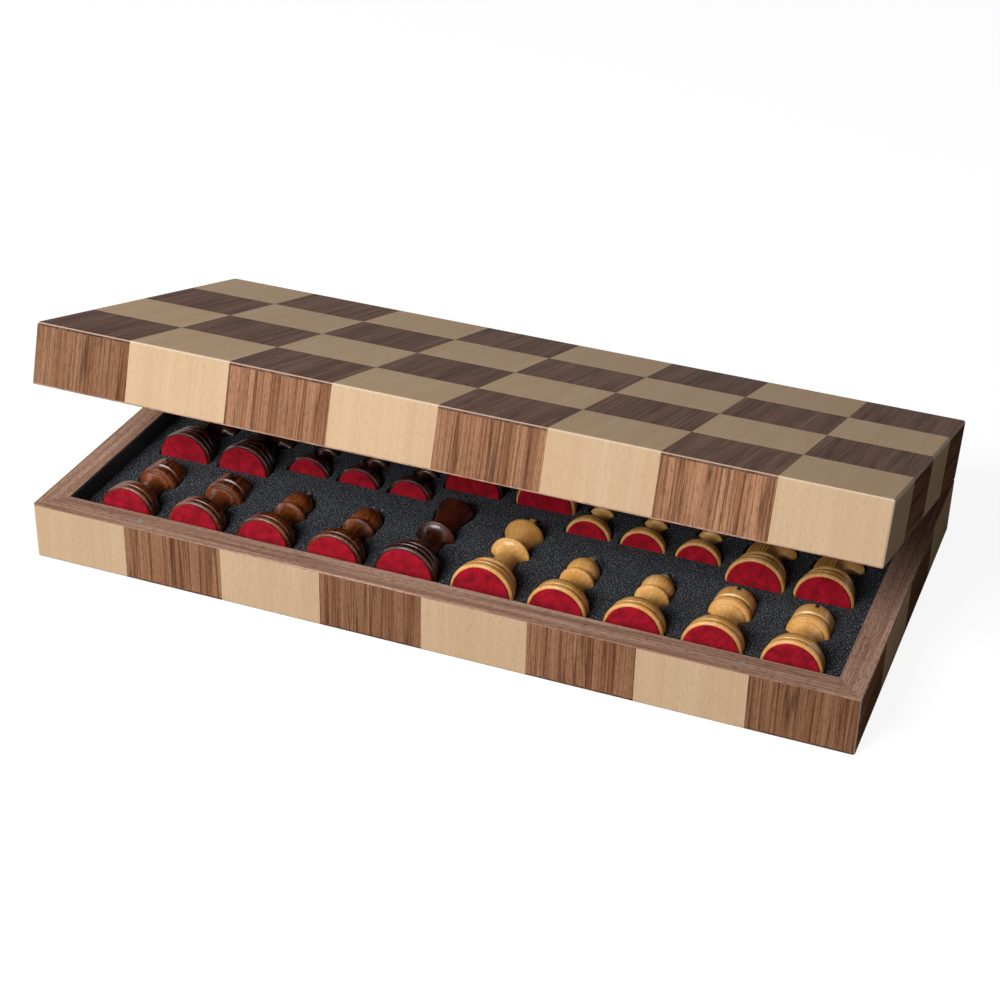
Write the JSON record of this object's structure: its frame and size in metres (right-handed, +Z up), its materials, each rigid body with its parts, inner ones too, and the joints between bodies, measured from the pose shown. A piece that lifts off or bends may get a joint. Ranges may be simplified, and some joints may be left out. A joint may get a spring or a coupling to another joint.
{
  "type": "folding chess set",
  "caption": "Folding wooden chess case: two hinged half boxes that open into a chequered board, with turned pieces bedded in a die-cut foam tray.",
  "frame": {"origin": "centre of the tray's chequered underside, on the surface that the case stands on", "axes": "+X along the hinge, with the light pieces at +X; +Y from the open front to the hinge at the back; +Z up"},
  "size_m": [0.381, 0.1986, 0.1113],
  "materials": {
    "walnut": "satin",
    "maple": "satin",
    "core_board": "matte",
    "dark_wood": "gloss",
    "light_wood": "gloss",
    "black_lining": "matte",
    "red_felt": "matte",
    "foam": "matte",
    "brass": "polished",
    "magnet_steel": "satin"
  },
  "bodies": {
    "tray": {"foam_insert": "foam", "hinge_pins": "brass", "tray_back_wall": "walnut", "tray_edge_veneers": "walnut", "tray_front_wall": "walnut", "tray_hinge_leaves": "brass", "tray_hinge_screws": "brass", "tray_left_wall": "walnut", "tray_lining": "black_lining", "tray_magnets": "magnet_steel", "tray_maple_squares": "maple", "tray_panel": "core_board", "tray_right_wall": "walnut", "tray_walnut_squares": "walnut"},
    "lid": {"lid_back_wall": "walnut", "lid_edge_veneers": "walnut", "lid_foam_pad": "foam", "lid_front_wall": "walnut", "lid_hinge_leaves": "brass", "lid_hinge_screws": "brass", "lid_left_wall": "walnut", "lid_lining": "black_lining", "lid_magnets": "magnet_steel", "lid_maple_squares": "maple", "lid_panel": "core_board", "lid_right_wall": "walnut", "lid_walnut_squares": "walnut"},
    "dark_bishop_a": {"dark_bishop_a": "dark_wood"},
    "dark_bishop_b": {"dark_bishop_b": "dark_wood"},
    "dark_king": {"dark_king": "dark_wood"},
    "dark_knight_a": {"dark_knight_a": "dark_wood"},
    "dark_knight_b": {"dark_knight_b": "dark_wood"},
    "dark_pawn_1": {"dark_pawn_1": "dark_wood"},
    "dark_pawn_2": {"dark_pawn_2": "dark_wood"},
    "dark_pawn_3": {"dark_pawn_3": "dark_wood"},
    "dark_pawn_4": {"dark_pawn_4": "dark_wood"},
    "dark_pawn_5": {"dark_pawn_5": "dark_wood"},
    "dark_pawn_6": {"dark_pawn_6": "dark_wood"},
    "dark_pawn_7": {"dark_pawn_7": "dark_wood"},
    "dark_pawn_8": {"dark_pawn_8": "dark_wood"},
    "dark_queen": {"dark_queen": "dark_wood"},
    "dark_rook_a": {"dark_rook_a": "dark_wood"},
    "dark_rook_b": {"dark_rook_b": "dark_wood"},
    "light_bishop_a": {"light_bishop_a": "light_wood"},
    "light_bishop_b": {"light_bishop_b": "light_wood"},
    "light_king": {"light_king": "light_wood"},
    "light_knight_a": {"light_knight_a": "light_wood"},
    "light_knight_b": {"light_knight_b": "light_wood"},
    "light_pawn_1": {"light_pawn_1": "light_wood"},
    "light_pawn_2": {"light_pawn_2": "light_wood"},
    "light_pawn_3": {"light_pawn_3": "light_wood"},
    "light_pawn_4": {"light_pawn_4": "light_wood"},
    "light_pawn_5": {"light_pawn_5": "light_wood"},
    "light_pawn_6": {"light_pawn_6": "light_wood"},
    "light_pawn_7": {"light_pawn_7": "light_wood"},
    "light_pawn_8": {"light_pawn_8": "light_wood"},
    "light_queen": {"light_queen": "light_wood"},
    "light_rook_a": {"light_rook_a": "light_wood"},
    "light_rook_b": {"light_rook_b": "light_wood"}
  },
  "joints": [
    {"name": "lid_hinge", "type": "hinge", "parent": "tray", "child": "lid", "pos_m": [0, 0.09545, 0.0281], "axis": [-1, 0, 0], "range_deg": [-17.3, 162.7]},
    {"name": "dark_bishop_a_lift", "type": "slide", "parent": "tray", "child": "dark_bishop_a", "axis": [0, 0, 1], "range_m": [0, 0.03]},
    {"name": "dark_bishop_b_lift", "type": "slide", "parent": "tray", "child": "dark_bishop_b", "axis": [0, 0, 1], "range_m": [0, 0.03]},
    {"name": "dark_king_lift", "type": "slide", "parent": "tray", "child": "dark_king", "axis": [0, 0, 1], "range_m": [0, 0.03]},
    {"name": "dark_knight_a_lift", "type": "slide", "parent": "tray", "child": "dark_knight_a", "axis": [0, 0, 1], "range_m": [0, 0.03]},
    {"name": "dark_knight_b_lift", "type": "slide", "parent": "tray", "child": "dark_knight_b", "axis": [0, 0, 1], "range_m": [0, 0.03]},
    {"name": "dark_pawn_1_lift", "type": "slide", "parent": "tray", "child": "dark_pawn_1", "axis": [0, 0, 1], "range_m": [0, 0.03]},
    {"name": "dark_pawn_2_lift", "type": "slide", "parent": "tray", "child": "dark_pawn_2", "axis": [0, 0, 1], "range_m": [0, 0.03]},
    {"name": "dark_pawn_3_lift", "type": "slide", "parent": "tray", "child": "dark_pawn_3", "axis": [0, 0, 1], "range_m": [0, 0.03]},
    {"name": "dark_pawn_4_lift", "type": "slide", "parent": "tray", "child": "dark_pawn_4", "axis": [0, 0, 1], "range_m": [0, 0.03]},
    {"name": "dark_pawn_5_lift", "type": "slide", "parent": "tray", "child": "dark_pawn_5", "axis": [0, 0, 1], "range_m": [0, 0.03]},
    {"name": "dark_pawn_6_lift", "type": "slide", "parent": "tray", "child": "dark_pawn_6", "axis": [0, 0, 1], "range_m": [0, 0.03]},
    {"name": "dark_pawn_7_lift", "type": "slide", "parent": "tray", "child": "dark_pawn_7", "axis": [0, 0, 1], "range_m": [0, 0.03]},
    {"name": "dark_pawn_8_lift", "type": "slide", "parent": "tray", "child": "dark_pawn_8", "axis": [0, 0, 1], "range_m": [0, 0.03]},
    {"name": "dark_queen_lift", "type": "slide", "parent": "tray", "child": "dark_queen", "axis": [0, 0, 1], "range_m": [0, 0.03]},
    {"name": "dark_rook_a_lift", "type": "slide", "parent": "tray", "child": "dark_rook_a", "axis": [0, 0, 1], "range_m": [0, 0.03]},
    {"name": "dark_rook_b_lift", "type": "slide", "parent": "tray", "child": "dark_rook_b", "axis": [0, 0, 1], "range_m": [0, 0.03]},
    {"name": "light_bishop_a_lift", "type": "slide", "parent": "tray", "child": "light_bishop_a", "axis": [0, 0, 1], "range_m": [0, 0.03]},
    {"name": "light_bishop_b_lift", "type": "slide", "parent": "tray", "child": "light_bishop_b", "axis": [0, 0, 1], "range_m": [0, 0.03]},
    {"name": "light_king_lift", "type": "slide", "parent": "tray", "child": "light_king", "axis": [0, 0, 1], "range_m": [0, 0.03]},
    {"name": "light_knight_a_lift", "type": "slide", "parent": "tray", "child": "light_knight_a", "axis": [0, 0, 1], "range_m": [0, 0.03]},
    {"name": "light_knight_b_lift", "type": "slide", "parent": "tray", "child": "light_knight_b", "axis": [0, 0, 1], "range_m": [0, 0.03]},
    {"name": "light_pawn_1_lift", "type": "slide", "parent": "tray", "child": "light_pawn_1", "axis": [0, 0, 1], "range_m": [0, 0.03]},
    {"name": "light_pawn_2_lift", "type": "slide", "parent": "tray", "child": "light_pawn_2", "axis": [0, 0, 1], "range_m": [0, 0.03]},
    {"name": "light_pawn_3_lift", "type": "slide", "parent": "tray", "child": "light_pawn_3", "axis": [0, 0, 1], "range_m": [0, 0.03]},
    {"name": "light_pawn_4_lift", "type": "slide", "parent": "tray", "child": "light_pawn_4", "axis": [0, 0, 1], "range_m": [0, 0.03]},
    {"name": "light_pawn_5_lift", "type": "slide", "parent": "tray", "child": "light_pawn_5", "axis": [0, 0, 1], "range_m": [0, 0.03]},
    {"name": "light_pawn_6_lift", "type": "slide", "parent": "tray", "child": "light_pawn_6", "axis": [0, 0, 1], "range_m": [0, 0.03]},
    {"name": "light_pawn_7_lift", "type": "slide", "parent": "tray", "child": "light_pawn_7", "axis": [0, 0, 1], "range_m": [0, 0.03]},
    {"name": "light_pawn_8_lift", "type": "slide", "parent": "tray", "child": "light_pawn_8", "axis": [0, 0, 1], "range_m": [0, 0.03]},
    {"name": "light_queen_lift", "type": "slide", "parent": "tray", "child": "light_queen", "axis": [0, 0, 1], "range_m": [0, 0.03]},
    {"name": "light_rook_a_lift", "type": "slide", "parent": "tray", "child": "light_rook_a", "axis": [0, 0, 1], "range_m": [0, 0.03]},
    {"name": "light_rook_b_lift", "type": "slide", "parent": "tray", "child": "light_rook_b", "axis": [0, 0, 1], "range_m": [0, 0.03]}
  ]
}
